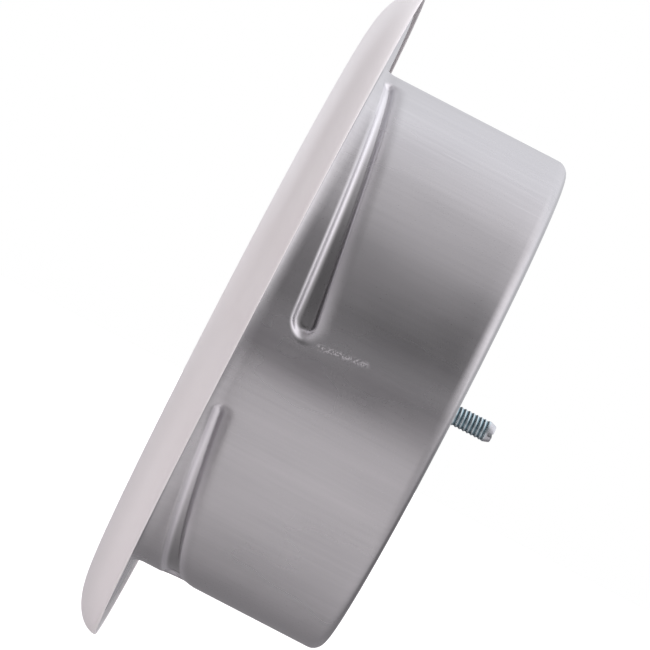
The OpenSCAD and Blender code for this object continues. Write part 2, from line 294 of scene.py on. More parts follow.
def drawing_marks() -> bpy.types.NodeTree:
    """Fine lines along the axis, as a drawing die leaves on a steel wall."""
    fx = Effect("drawing_marks", {"Fine": 900.0, "Broad": 160.0}, ("Lines", "Cloud"))
    g = fx.graph
    fine = g.add("TexNoise", {"Vector": fx.stretched((1, 0.03, 1)), "Scale": fx.given["Fine"], "Detail": 3.0})
    broad = g.add("TexNoise", {"Vector": fx.stretched((1, 0.12, 1)), "Scale": fx.given["Broad"], "Detail": 2.0})
    lines = g.maths("MULTIPLY_ADD", fine.outputs["Fac"], 0.6, g.maths("MULTIPLY", broad.outputs["Fac"], 0.4))
    cloud = g.noise(fx.stretched((1, 0.5, 1)), 38.0, 3.0)
    g.feed(fx.result, "Lines", lines)
    g.feed(fx.result, "Cloud", cloud)
    return fx.tree


def metal_grain() -> bpy.types.NodeTree:
    """Close grain of a bare or plated surface."""
    fx = Effect("metal_grain", {"Scale": 3200.0}, ("Grain", "Sparkle"))
    g = fx.graph
    grain = g.add("TexNoise", {"Vector": fx.place, "Scale": fx.given["Scale"], "Detail": 3.0, "Roughness": 0.7})
    g.feed(fx.result, "Grain", grain.outputs["Fac"])
    g.feed(fx.result, "Sparkle", g.ramp(grain.outputs["Fac"], 0.62, 0.74))
    return fx.tree


def scratches() -> bpy.types.NodeTree:
    """Sparse thin handling scratches in two directions."""
    fx = Effect("handling_scratches", {"Density": 0.5}, ("Scratches",))
    g = fx.graph
    found = None
    for turn, seed in (((0.3, 0.5, 0.2), 0.0), ((-0.7, 0.2, 0.9), 3.0)):
        place = fx.stretched((1, 0.035, 1), turn)
        shifted = g.add("VectorMath", {0: place, 1: (seed, seed, seed)}, operation="ADD").outputs[0]
        lines = g.ramp(g.noise(shifted, 1500.0, 1.0), 0.69, 0.74)
        where = g.ramp(g.noise(shifted, 260.0, 1.0), 0.56, 0.66)
        lone_lines = g.maths("MULTIPLY", lines, where)
        found = lone_lines if found is None else g.maths("MAXIMUM", found, lone_lines)
    g.feed(fx.result, "Scratches", g.maths("MULTIPLY", found, fx.given["Density"]))
    return fx.tree


def paint_film() -> bpy.types.NodeTree:
    """Slight waviness of a stoved paint film, and faint dust on it."""
    fx = Effect("paint_film", {"Peel": 700.0}, ("Height", "Dust"))
    g = fx.graph
    peel = g.add("TexNoise", {"Vector": fx.place, "Scale": fx.given["Peel"], "Detail": 2.0})
    slow = g.noise(fx.place, 60.0, 2.0)
    g.feed(fx.result, "Height", g.maths("MULTIPLY_ADD", slow, 0.5, peel.outputs["Fac"]))
    g.feed(fx.result, "Dust", g.ramp(g.noise(fx.place, 22.0, 4.0, 0.6), 0.45, 0.75))
    return fx.tree


@dataclass(frozen=True)
class Effects:
    """The shared effects, built once."""

    marks: bpy.types.NodeTree
    grain: bpy.types.NodeTree
    scratches: bpy.types.NodeTree
    film: bpy.types.NodeTree

    @staticmethod
    def build() -> "Effects":
        """Builds every shared effect."""
        return Effects(drawing_marks(), metal_grain(), scratches(), paint_film())


def start_material(name: str) -> tuple[Graph, bpy.types.Node, bpy.types.Material]:
    """An empty material with a Principled shader.

    Args:
        name: Name of the material.

    Returns:
        Its graph, its shader and the material.
    """
    material = bpy.data.materials.new(name)
    material.use_nodes = True
    material.node_tree.nodes.clear()
    g = Graph(material.node_tree)
    shader = g.add("BsdfPrincipled")
    g.add("OutputMaterial", {"Surface": shader.outputs[0]})
    return g, shader, material


@dataclass(frozen=True)
class DrawnSteel:
    """Bare deep-drawn steel of the collar, dull, with lines along the draw."""

    light: Colour = (0.43, 0.423, 0.432)
    dark: Colour = (0.345, 0.341, 0.349)
    roughness: float = 0.3
    fine: float = 1100.0
    marks: float = 0.05
    # Painted shade: darker colour on the grooves' floors, where the channels lie in shade.
    groove_floor_shade: Colour = (0.24, 0.237, 0.24)
    groove_floor_shade_radii: Point = (61.4, 60.5)
    # Painted highlight: lighter colour on the grooves' flanks, standing in for their bright reflected lines.
    groove_flank_highlight: Colour = (0.6, 0.59, 0.61)
    groove_flank_highlight_radii: tuple[float, float, float, float] = (60.5, 61.0, 61.5, 61.95)
    groove_top: float = 17.0
    streak: Colour = (0.8, 0.78, 0.8)
    streak_start: Point = (15.0, -0.1)
    streak_end: Point = (26.5, 1.4)
    streak_half: float = 1.1
    streak_height: float = 6.0

    def build(self, name: str, effects: Effects) -> bpy.types.Material:
        """Makes the material."""
        g, shader, material = start_material(name)
        marks = g.group(effects.marks, {"Fine": self.fine})
        grain = g.group(effects.grain, {"Scale": 3000.0})
        cuts = g.group(effects.scratches, {"Density": 0.3})
        tone = g.maths("MULTIPLY_ADD", marks.outputs["Lines"], 0.4, g.maths("MULTIPLY", marks.outputs["Cloud"], 0.6))
        colour = g.blend(g.ramp(tone, 0.25, 0.75), (*self.dark, 1), (*self.light, 1))
        colour = g.blend(g.maths("MULTIPLY", cuts.outputs["Scratches"], 0.5), colour, (0.52, 0.52, 0.53, 1))
        sunk, flank_lit = self.sunk(g)
        # Painted shade on the grooves' floors.
        colour = g.blend(sunk, colour, (*self.groove_floor_shade, 1))
        # Painted highlight on the grooves' flanks.
        colour = g.blend(flank_lit, colour, (*self.groove_flank_highlight, 1))
        galled = self.galled(g)
        colour = g.blend(galled, colour, (*self.streak, 1))
        g.feed(shader, "Base Color", colour)
        rough = g.ramp(marks.outputs["Cloud"], 0.25, 0.75, self.roughness - 0.06, self.roughness + 0.06)
        rough = g.maths("SUBTRACT", rough, g.maths("MULTIPLY", grain.outputs["Sparkle"], 0.1))
        g.feed(shader, "Roughness", rough)
        shader.inputs["Metallic"].default_value = 1.0
        height = g.maths("MULTIPLY_ADD", marks.outputs["Lines"], 0.7, g.maths("MULTIPLY", grain.outputs["Grain"], 0.5))
        height = g.maths("SUBTRACT", height, g.maths("MULTIPLY", cuts.outputs["Scratches"], 0.5))
        height = g.maths("MULTIPLY_ADD", galled, self.streak_height, height)
        bump = g.add("Bump", {"Height": height, "Strength": self.marks, "Distance": 0.0003})
        g.feed(shader, "Normal", bump.outputs[0])
        return material

    def sunk(self, g: Graph) -> tuple[bpy.types.NodeSocket, bpy.types.NodeSocket]:
        """Shares of painted shade on the grooves' floors and of painted highlight on their flanks, outside only."""
        x, y, z = g.add("SeparateXYZ", {0: g.add("TexCoord").outputs["Object"]}).outputs
        nx, _, nz = g.add("SeparateXYZ", {0: g.add("TexCoord").outputs["Normal"]}).outputs
        flat = g.add("CombineXYZ", {0: x, 2: z}).outputs[0]
        radius = g.add("VectorMath", {0: flat}, operation="LENGTH").outputs["Value"]
        outward = g.maths("GREATER_THAN", g.maths("MULTIPLY_ADD", nx, x, g.maths("MULTIPLY", nz, z)), 0.0)
        # Painted shade mask: the grooves' floors, found by radius, on the outer side.
        low = g.ramp(radius, self.groove_floor_shade_radii[0] * MM, self.groove_floor_shade_radii[1] * MM)
        wall = g.maths("GREATER_THAN", radius, (self.groove_floor_shade_radii[1] - 1.5) * MM)
        floor = g.maths("MULTIPLY", g.maths("MULTIPLY", low, wall), outward)
        # Painted highlight mask: the grooves' flanks, found by radius, outside and near the grooves.
        inner, full, fading, outer = (r * MM for r in self.groove_flank_highlight_radii)
        flank = g.maths("MULTIPLY", g.ramp(radius, inner, full), g.ramp(radius, outer, fading))
        near = g.maths("MULTIPLY", outward, g.maths("LESS_THAN", y, self.groove_top * MM))
        return floor, g.maths("MULTIPLY", flank, near)

    def galled(self, g: Graph) -> bpy.types.NodeSocket:
        """Share of bright specks in the short streak below one groove's end."""
        place = g.add("TexCoord").outputs["Object"]
        x, y, z = g.add("SeparateXYZ", {0: place}).outputs
        (y0, z0), (y1, z1) = self.streak_start, self.streak_end
        lean = (z1 - z0) / (y1 - y0)
        middle = g.maths("MULTIPLY_ADD", y, lean, (z0 - y0 * lean) * MM)
        off = g.maths("ABSOLUTE", g.maths("SUBTRACT", z, middle))
        along = g.maths("MULTIPLY", g.ramp(y, (y0 - 1) * MM, y0 * MM), g.ramp(y, y1 * MM, (y1 - 2) * MM))
        near = g.maths("MULTIPLY", g.ramp(off, self.streak_half * MM, 0.0), along)
        near = g.maths("MULTIPLY", near, g.maths("GREATER_THAN", x, 0.06))
        specks = g.ramp(g.noise(place, 2300.0, 2.0, 0.7), 0.48, 0.58)
        return g.maths("MULTIPLY", near, specks)


@dataclass(frozen=True)
class PlatedSteel:
    """Zinc plating on small turned and rolled parts."""

    light: Colour = (0.62, 0.66, 0.68)
    dark: Colour = (0.42, 0.48, 0.52)
    roughness: float = 0.3
    scale: float = 1800.0

    def build(self, name: str, effects: Effects) -> bpy.types.Material:
        """Makes the material."""
        g, shader, material = start_material(name)
        grain = g.group(effects.grain, {"Scale": self.scale})
        cuts = g.group(effects.scratches, {"Density": 0.5})
        place = g.add("TexCoord").outputs["Object"]
        patches = g.noise(place, 260.0, 3.0)
        colour = g.blend(g.ramp(patches, 0.3, 0.7), (*self.dark, 1), (*self.light, 1))
        colour = g.blend(g.maths("MULTIPLY", cuts.outputs["Scratches"], 0.4), colour, (0.75, 0.77, 0.78, 1))
        g.feed(shader, "Base Color", colour)
        g.feed(shader, "Roughness", g.ramp(grain.outputs["Grain"], 0.3, 0.7, self.roughness - 0.06, self.roughness + 0.08))
        shader.inputs["Metallic"].default_value = 1.0
        bump = g.add("Bump", {"Height": grain.outputs["Grain"], "Strength": 0.12, "Distance": 0.0002})
        g.feed(shader, "Normal", bump.outputs[0])
        return material


@dataclass(frozen=True)
class PlatedThread:
    """Bluish zinc on the spindle, with painted shade in the thread's valleys and in the slot."""

    crest: Colour = (0.46, 0.54, 0.57)
    # Painted shade: dark colour in the thread's valleys.
    valley_shade: Colour = (0.10, 0.17, 0.20)
    plain: Colour = (0.42, 0.43, 0.45)
    # Painted shade: near-black colour inside the screwdriver slot.
    slot_shade: Colour = (0.03, 0.035, 0.04)
    radii: Point = (2.2, 2.46)
    plain_from: Point = (57.4, 57.9)
    slot_floor: float = 58.06
    slot_half: float = 0.445
    slot_turn: float = 12.0
    roughness: float = 0.34

    def build(self, name: str, effects: Effects) -> bpy.types.Material:
        """Makes the material."""
        g, shader, material = start_material(name)
        grain = g.group(effects.grain, {"Scale": 1800.0})
        place = g.add("TexCoord").outputs["Object"]
        x, y, z = g.add("SeparateXYZ", {0: place}).outputs
        radius = g.add("VectorMath", {0: g.add("CombineXYZ", {0: x, 2: z}).outputs[0]}, operation="LENGTH").outputs["Value"]
        # Painted shade: colour darkens from the crests down into the valleys.
        high = g.ramp(radius, self.radii[0] * MM, self.radii[1] * MM)
        colour = g.blend(high, (*self.valley_shade, 1), (*self.crest, 1))
        plain = g.ramp(y, self.plain_from[0] * MM, self.plain_from[1] * MM)
        colour = g.blend(plain, colour, (*self.plain, 1))
        # Painted shade mask: points inside the slot, found by object coordinates.
        turn = math.radians(self.slot_turn)
        across = g.maths("MULTIPLY_ADD", z, math.cos(turn), g.maths("MULTIPLY", x, math.sin(turn)))
        inside = g.maths("LESS_THAN", g.maths("ABSOLUTE", across), self.slot_half * MM)
        inside = g.maths("MULTIPLY", inside, g.maths("GREATER_THAN", y, self.slot_floor * MM))
        g.feed(shader, "Base Color", g.blend(inside, colour, (*self.slot_shade, 1)))
        g.feed(shader, "Roughness", g.ramp(grain.outputs["Grain"], 0.3, 0.7, self.roughness - 0.06, self.roughness + 0.08))
        shader.inputs["Metallic"].default_value = 1.0
        bump = g.add("Bump", {"Height": grain.outputs["Grain"], "Strength": 0.12, "Distance": 0.0002})
        g.feed(shader, "Normal", bump.outputs[0])
        return material


@dataclass(frozen=True)
class StovedPaint:
    """White stove enamel with a satin gloss."""

    clean: Colour = (0.77, 0.74, 0.74)
    dusty: Colour = (0.745, 0.708, 0.706)
    roughness: float = 0.36

    def build(self, name: str, effects: Effects) -> bpy.types.Material:
        """Makes the material."""
        g, shader, material = start_material(name)
        film = g.group(effects.film, {"Peel": 650.0})
        g.feed(shader, "Base Color", g.blend(film.outputs["Dust"], (*self.clean, 1), (*self.dusty, 1)))
        g.feed(shader, "Roughness", g.ramp(film.outputs["Dust"], 0.0, 1.0, self.roughness - 0.03, self.roughness + 0.05))
        shader.inputs["IOR"].default_value = 1.5
        bump = g.add("Bump", {"Height": film.outputs["Height"], "Strength": 0.05, "Distance": 0.0002})
        g.feed(shader, "Normal", bump.outputs[0])
        return material


@dataclass(frozen=True)
class ClosedCellFoam:
    """Dark matt foam with open cut cells."""

    light: Colour = (0.13, 0.13, 0.135)
    dark: Colour = (0.045, 0.045, 0.05)

    def build(self, name: str, effects: Effects) -> bpy.types.Material:
        """Makes the material."""
        g, shader, material = start_material(name)
        film = g.group(effects.film, {"Peel": 300.0})
        place = g.add("TexCoord").outputs["Object"]
        cells = g.add("TexVoronoi", {"Vector": place, "Scale": 1500.0}).outputs["Distance"]
        g.feed(shader, "Base Color", g.blend(g.ramp(cells, 0.1, 0.6), (*self.dark, 1), (*self.light, 1)))
        g.feed(shader, "Roughness", g.ramp(film.outputs["Dust"], 0.0, 1.0, 0.85, 0.95))
        bump = g.add("Bump", {"Height": cells, "Strength": 0.5, "Distance": 0.0004})
        g.feed(shader, "Normal", bump.outputs[0])
        return material


@dataclass(frozen=True)
class Palette:
    """Finishes of all pieces."""

    collar: bpy.types.Material
    paint: bpy.types.Material
    foam: bpy.types.Material
    sheet: bpy.types.Material
    rivet: bpy.types.Material
    plated: bpy.types.Material
    spindle: bpy.types.Material

    @staticmethod
    def build() -> "Palette":
        """Makes every finish."""
        fx = Effects.build()
        return Palette(
            collar=DrawnSteel().build("bare_drawn_steel", fx),
            paint=StovedPaint().build("white_stoved_paint", fx),
            foam=ClosedCellFoam().build("closed_cell_foam", fx),
            sheet=DrawnSteel((0.64, 0.64, 0.65), (0.5, 0.5, 0.51), 0.36, 500.0).build("galvanised_sheet", fx),
            rivet=PlatedSteel((0.68, 0.68, 0.69), (0.55, 0.55, 0.56), 0.32).build("rivet_steel", fx),
            plated=PlatedSteel().build("zinc_plated_steel", fx),
            spindle=PlatedThread().build("blue_zinc_spindle", fx),
        )


# Pieces


@dataclass
class Collar:
    """Drawn steel collar with four pressed helical bayonet grooves. Sizes in mm and degrees."""

    radius: float = 62.0
    sheet: float = 0.7
    depth: float = 46.6
    flange_rear: float = -0.6
    flange_radius: float = 76.0
    root_fillet: float = 1.1
    root_rise: float = 2.9
    rear_fillet: float = 3.0
    lip: float = 3.5
    grooves: int = 4
    turn: float = 66.4
    start_angle: float = -69.6
    start_height: float = 2.5
    rise: float = 7.8
    depth_pressed: Point = (1.1, 1.65)
    floor_half: Point = (0.2, 1.3)
    front_flank: Point = (1.9, 2.6)
    rear_flank: Point = (4.2, 4.2)
    front_peak: float = 0.76
    rear_foot: float = 0.2
    rear_foot_rise: Point = (0.5, 0.6)
    rear_straight: float = 0.55
    start_round: float = 0.7
    steps: int = 720

    def section(self) -> list[Point]:
        """Half section of the sheet, with rows close together where the grooves are."""
        s = self.sheet
        front = self.flange_rear - s
        root = (self.radius + self.root_fillet, self.flange_rear + self.root_rise)
        rear = (self.radius - self.rear_fillet, self.depth - self.rear_fillet)
        lip_r = rear[0] - self.lip
        busy = 16.2
        outer = [(self.flange_radius - 0.2, self.flange_rear)]
        outer += line((self.flange_radius - 0.2, self.flange_rear), (root[0], self.flange_rear), 3)
        outer += arc(root, self.root_fillet, self.root_rise, 270, 180, 9)
        outer += line((self.radius, root[1]), (self.radius, busy), 52) + [(self.radius, busy)]
        outer += line((self.radius, busy), (self.radius, rear[1]), 9)
        outer += arc(rear, self.rear_fillet, self.rear_fillet, 0, 90, 9)
        outer += [(lip_r + 0.15, self.depth), (lip_r, self.depth - 0.15)]
        inner = [(lip_r, self.depth - s + 0.15), (lip_r + 0.15, self.depth - s)]
        inner += arc(rear, self.rear_fillet - s, self.rear_fillet - s, 90, 0, 6)
        in_r = self.radius - s
        inner += line((in_r, rear[1]), (in_r, busy), 7) + [(in_r, busy)]
        inner += line((in_r, busy), (in_r, root[1]), 22)
        inner += arc(root, self.root_fillet + s, self.root_rise + s, 180, 270, 9)
        inner += line((root[0], front), (self.flange_radius - 0.2, front), 3)
        inner += [(self.flange_radius - 0.2, front), (self.flange_radius, front + 0.2),
                  (self.flange_radius, self.flange_rear - 0.2)]
        return outer + inner

    def sink(self, angle: np.ndarray, height: np.ndarray) -> np.ndarray:
        """Depth that the grooves are pressed in.

        Args:
            angle: Angles round the axis in degrees.
            height: Heights behind the rim plane in mm.

        Returns:
            The depth below the wall in mm.
        """
        total = np.zeros_like(height)
        pitch = 360.0 / self.grooves
        lap = (angle - self.start_angle + (pitch - self.turn) / 2) % pitch - (pitch - self.turn) / 2
        for turn in (lap, lap + pitch, lap - pitch):
            share = np.clip(turn / self.turn, 0, 1)
            on_way = share * self.turn
            beyond = (turn - on_way) * math.pi / 180 * self.radius
            beyond = np.where(beyond < 0, beyond / self.start_round, beyond)
            across = height - (self.start_height + self.rise * turn / self.turn)
            away = np.hypot(beyond, across)
            rearward = smooth(0.5 + 0.5 * across / np.maximum(away, 1e-6))
            front, rear = self.along(self.front_flank, share), self.along(self.rear_flank, share)
            floor, foot = self.along(self.floor_half, share**2), self.along(self.rear_foot_rise, share)
            out = np.clip((away - floor) / (front + (rear - front) * rearward), 0, 1)
            left = 1 - self.rear_rise(out, foot) * rearward - self.front_rise(out) * (1 - rearward)
            total = np.maximum(total, left * self.along(self.depth_pressed, share))
        return total

    @staticmethod
    def along(ends: Point, share: np.ndarray) -> np.ndarray:
        """A size that changes evenly from a groove's start to its end."""
        return ends[0] + (ends[1] - ends[0]) * share

    def front_rise(self, out: np.ndarray) -> np.ndarray:
        """Rise of the flank on the flange's side: a long round foot and a tight shoulder."""
        peak = self.front_peak
        return np.where(out < peak, out**2 / peak, 1 - (1 - out) ** 2 / (1 - peak))

    def rear_rise(self, out: np.ndarray, foot: np.ndarray) -> np.ndarray:
        """Rise of the rear flank: a short steep foot, then a long gentle slope rounded off to the wall."""
        a = self.rear_straight
        bent = np.clip(out - a, 0, 1)
        slope = (out - bent**2 / (2 * (1 - a))) * 2 / (1 + a)
        return foot * smooth(out / self.rear_foot) + (1 - foot) * slope

    def build(self, palette: Palette) -> None:
        """Builds and dresses the collar."""
        obj = turned("collar_shell", self.section(), self.steps)

        def move(p: np.ndarray) -> np.ndarray:
            radius = np.hypot(p[:, 0], p[:, 2])
            angle = np.degrees(np.arctan2(-p[:, 2], p[:, 0]))
            near_wall = np.clip((self.radius + 1.6 - radius) / 1.4, 0, 1)
            sunk = (radius - self.sink(angle, p[:, 1]) * near_wall) / radius
            return p * np.stack([sunk, np.ones_like(sunk), sunk], 1)

        smoothed(pressed(obj, move), 60)
        finished(obj, Body.COLLAR, Slot.COLLAR, palette.collar, "mounting_collar")


@dataclass
class Ring:
    """White pressed ring: rim, round skirt, bell and neck with four pressed lugs."""

    radius: float = 81.5
    sheet: float = 0.8
    crest: float = 68.3
    crest_height: float = 7.8
    bell_depth: float = 3.0
    neck_in: float = 57.0
    neck_depth: float = 22.0
    lug_radius: float = 4.5
    lug_tip: float = 60.9
    lug_angle: float = -20.2
    lug_height: float = 14.8
    steps: int = 480

    def section(self) -> list[Point]:
        """Half section of the sheet, with rows close together where the lugs are."""
        s, skirt, bell = self.sheet, self.radius - self.crest, self.crest - self.neck_in
        depth = self.crest_height + self.bell_depth
        edge = 0.25
        outer = arc((self.crest, 0), skirt, self.crest_height, -2, -90, 26)
        outer += arc((self.crest, self.bell_depth), bell, depth, -90, -180, 22)[1:]
        busy = (9.6, 20.0)
        outer += [(self.neck_in, 6.0), (self.neck_in, busy[0])]
        outer += line((self.neck_in, busy[0]), (self.neck_in, busy[1]), 20)
        outer += [(self.neck_in, busy[1]), (self.neck_in, self.neck_depth - edge), (self.neck_in + edge, self.neck_depth)]
        out_r = self.neck_in + s
        inner = [(out_r - edge, self.neck_depth), (out_r, self.neck_depth - edge), (out_r, busy[1])]
        inner += line((out_r, busy[1]), (out_r, busy[0]), 20)
        inner += [(out_r, busy[0]), (out_r, 6.0)]
        inner += arc((self.crest, self.bell_depth), bell - s, depth - s, -180, -90, 16)
        inner += arc((self.crest, 0), skirt - s, self.crest_height - s, -90, -3, 18)[1:]
        inner += [(self.radius - s + 0.05, -0.12), (self.radius - s + edge, 0.0), (self.radius - edge, 0.0)]
        return outer + inner

    def build(self, palette: Palette) -> None:
        """Builds and dresses the ring."""
        obj = turned("ring_shell", self.section(), self.steps)
        base = self.lug_tip - self.lug_radius

        def move(p: np.ndarray) -> np.ndarray:
            radius = np.hypot(p[:, 0], p[:, 2])
            angle = np.degrees(np.arctan2(-p[:, 2], p[:, 0]))
            off = (angle - self.lug_angle + 45) % 90 - 45
            outer_side = radius > self.neck_in + self.sheet / 2
            ball = np.where(outer_side, self.lug_radius, self.lug_radius - self.sheet)
            side = np.radians(off) * radius
            away = np.hypot(side, p[:, 1] - self.lug_height)
            bulge = base + np.sqrt(np.clip(ball**2 - away**2, 0, None))
            grown = np.where((p[:, 1] > 8.0) & (away < ball), np.maximum(radius, bulge), radius) / radius
            return p * np.stack([grown, np.ones_like(grown), grown], 1)

        smoothed(pressed(obj, move), 50)
        finished(obj, Body.VALVE, Slot.PAINT, palette.paint, "front_ring")


@dataclass
class Gasket:
    """Foam seal between the collar's flange and the ring."""

    inner: float = 64.2
    width: float = 10.3
    front: float = -1.3
    gap: float = 0.4
    ring: Ring = field(default_factory=Ring)

    def underside(self, r: float) -> float:
        """Height of the ring's hidden side above radius r."""
        ring = self.ring
        if r < ring.crest:
            w = ring.crest - ring.neck_in - ring.sheet
            h = ring.crest_height + ring.bell_depth - ring.sheet
            return ring.bell_depth - h * math.sqrt(1 - ((ring.crest - r) / w) ** 2)
        w = ring.radius - ring.crest - ring.sheet
        return -(ring.crest_height - ring.sheet) * math.sqrt(1 - ((r - ring.crest) / w) ** 2)

    def build(self, palette: Palette) -> None:
        """Builds and dresses the gasket."""
        edge = 0.5
        out = self.inner + self.width
        section = [(self.inner, self.front - edge), (self.inner + edge, self.front), (out - edge, self.front), (out, self.front - edge)]
        section += [(out - self.width * i / 12, self.underside(out - self.width * i / 12) + self.gap) for i in range(13)]
        obj = turned("foam_seal", section, 180)

        def move(p: np.ndarray) -> np.ndarray:
            angle = np.arctan2(p[:, 2], p[:, 0])
            wave = 0.06 * np.sin(angle * 17 + 1) + 0.05 * np.sin(angle * 31)
            middle = self.inner + self.width / 2
            radius = np.hypot(p[:, 0], p[:, 2])
            scale = (middle + (radius - middle) * (0.975 + 0.2 * wave)) / radius
            return p * np.stack([scale, np.ones_like(scale), scale], 1)

        smoothed(pressed(obj, move), 50)
        finished(obj, Body.GASKET, Slot.FOAM, palette.foam, "foam_gasket")


@dataclass
class Disc:
    """White dished disc with a rolled edge."""

    crown: float = -6.8
    sheet: float = 0.8
    roll: float = 3.0
    dish: float = 3.6
    flat: float = 12.0
    radius: float = 58.0

    def section(self) -> list[Point]:
        """Half section of the disc."""
        crown_r = self.radius - self.roll
        middle = self.crown + self.dish
        centre = (crown_r, self.crown + self.roll)
        edge = self.crown + self.roll + self.sheet * 2
        face = [(self.flat + (crown_r - self.flat) * i / 24, middle - self.dish * (i / 24) ** 2) for i in range(24)]
        inner = self.roll - self.sheet
        out = [(0.0, middle), (4.0, middle), (8.0, middle)] + face
        out += arc(centre, self.roll, self.roll, -90, 0, 12)
        out += [(self.radius, edge - 0.2), (self.radius - 0.2, edge), (self.radius - self.sheet + 0.2, edge),
                (self.radius - self.sheet, edge - 0.2)]
        out += arc(centre, inner, inner, 0, -90, 9)
        out += [(r, y + self.sheet) for r, y in reversed(face)]
        out += [(8.0, middle + self.sheet), (0.0, middle + self.sheet)]
        return out

    def build(self, palette: Palette) -> None:
        """Builds and dresses the disc."""
        obj = smoothed(turned("disc_shell", self.section(), 240), 50)
        finished(obj, Body.DISC, Slot.PAINT, palette.paint, "valve_disc")


@dataclass
class HexNut:
    """A turned and milled hexagon nut with a chamfered bore."""

    name: str
    base: float
    height: float
    body: Body
    node: str
    flats: float = 8.0
    bore: float = 2.5
    steps: int = 120

    def build(self, palette: Palette) -> None:
        """Builds and dresses the nut."""
        corner = self.flats / 2 / math.cos(math.radians(30))
        rise = (corner - self.flats / 2) * 0.6
        low, high, sink = self.base, self.base + self.height, 0.3
        section = [(self.bore, low + sink), (self.bore + sink, low), (self.flats / 2 - 0.1, low),
                   (corner, low + rise)]
        section += line((corner, low + rise), (corner, high - rise), 6)
        section += [(corner, high - rise), (self.flats / 2 - 0.1, high), (self.bore + sink, high),
                    (self.bore, high - sink)]
        obj = turned(self.name, section, self.steps)

        def move(p: np.ndarray) -> np.ndarray:
            radius = np.hypot(p[:, 0], p[:, 2])
            angle = np.degrees(np.arctan2(p[:, 2], p[:, 0])) % 60 - 30
            limit = self.flats / 2 / np.cos(np.radians(angle))
            scale = np.minimum(radius, limit) / radius
            return p * np.stack([scale, np.ones_like(scale), scale], 1)

        smoothed(pressed(obj, move), 18)
        finished(obj, self.body, Slot.PLATED, palette.plated, self.node)


@dataclass
class Spindle:
    """Threaded spindle with a plain pointed end and a screwdriver slot."""

    radius: float = 2.45
    start: float = -1.1
    end: float = 59.2
    point: float = 1.5
    point_radius: float = 1.95
    pitch: float = 1.0
    thread_depth: float = 0.24
    slot_width: float = 0.85
    slot_depth: float = 1.1
    slot_turn: float = 12.0

    def section(self) -> list[Point]:
        """Half section with a row every eighth of a pitch along the thread."""
        neck = self.end - self.point
        rows = int((neck - self.start) / self.pitch * 8)
        return ([(0.0, self.start), (self.radius - 0.5, self.start), (self.radius, self.start + 0.3)]
                + line((self.radius, self.start + 0.3), (self.radius, neck), rows)
                + [(self.radius, neck), (self.point_radius + 0.12, self.end - 0.35), (self.point_radius, self.end - 0.1),
                   (self.point_radius - 0.15, self.end), (1.0, self.end), (0.0, self.end)])

    def build(self, palette: Palette) -> None:
        """Builds and dresses the spindle."""
        obj = turned("spindle_thread", self.section(), 64)
        neck = self.end - self.point

        def move(p: np.ndarray) -> np.ndarray:
            radius = np.hypot(p[:, 0], p[:, 2])
            angle = np.arctan2(-p[:, 2], p[:, 0]) / math.tau
            phase = (p[:, 1] / self.pitch - angle) % 1.0
            depth = self.thread_depth * (0.5 + 0.5 * np.cos(phase * math.tau))
            fade = smooth((neck - 0.2 - p[:, 1]) / 0.6) * smooth((p[:, 1] - self.start) / 0.6)
            cut = np.where(radius > 1.9, depth * fade, 0)
            scale = (radius - cut) / np.maximum(radius, 1e-6)
            return p * np.stack([scale, np.ones_like(scale), scale], 1)

        pressed(obj, move)
        self.slotted(obj)
        smoothed(obj, 35)
        finished(obj, Body.DISC, Slot.SPINDLE, palette.spindle, "spindle")

    def slotted(self, obj: bpy.types.Object) -> None:
        """Cuts the screwdriver slot across the spindle's rear end."""
        bpy.ops.object.select_all(action="DESELECT")
        bpy.ops.mesh.primitive_cube_add(size=1, location=(0, (self.end - self.slot_depth + 1.0) * MM, 0))
        cutter = bpy.context.object
        cutter.scale = (self.radius * 4 * MM, 2.0 * MM, self.slot_width * MM)
        cutter.rotation_euler = (0.0, math.radians(self.slot_turn), 0.0)
        bpy.ops.object.transform_apply(location=True, rotation=True, scale=True)
        lone(obj)
        cut = obj.modifiers.new("slot", "BOOLEAN")
        cut.operation, cut.object, cut.solver = "DIFFERENCE", cutter, "EXACT"
        bpy.ops.object.modifier_apply(modifier="slot")
        bpy.data.objects.remove(cutter, do_unlink=True)


# Studio


